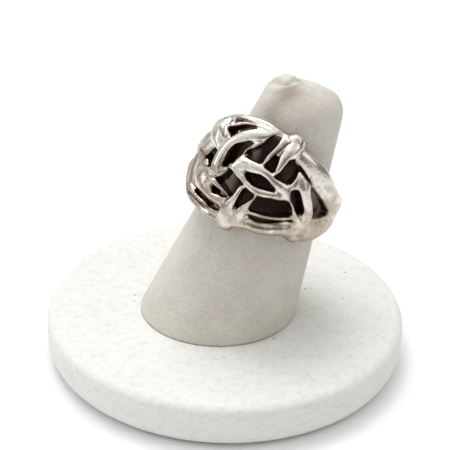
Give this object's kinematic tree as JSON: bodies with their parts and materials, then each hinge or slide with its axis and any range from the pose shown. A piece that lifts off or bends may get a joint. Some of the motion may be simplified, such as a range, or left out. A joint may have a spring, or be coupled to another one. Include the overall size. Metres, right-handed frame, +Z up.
{
  "type": "braided band ring on a ring stand",
  "caption": "Openwork metal finger ring of interlaced strands, wide in front and plain behind, on a leaning cone stand with a round base.",
  "frame": {"origin": "centre of the round base, on the surface that it stands on", "axes": "+Z up from the base; the camera of the picture looks along +Y; the post leans towards +X"},
  "size_m": [0.05, 0.05, 0.0401],
  "materials": {
    "silver": "polished silver, worn and scratched, brown tarnish in the hollows and on the band",
    "leatherette": "matt off-white leatherette with a fine grain",
    "backing": "thin grey-brown backing felt"
  },
  "bodies": {
    "root": {"ring": "silver", "post": "leatherette", "base_disc": "leatherette", "base_backing": "backing"}
  },
  "joints": []
}
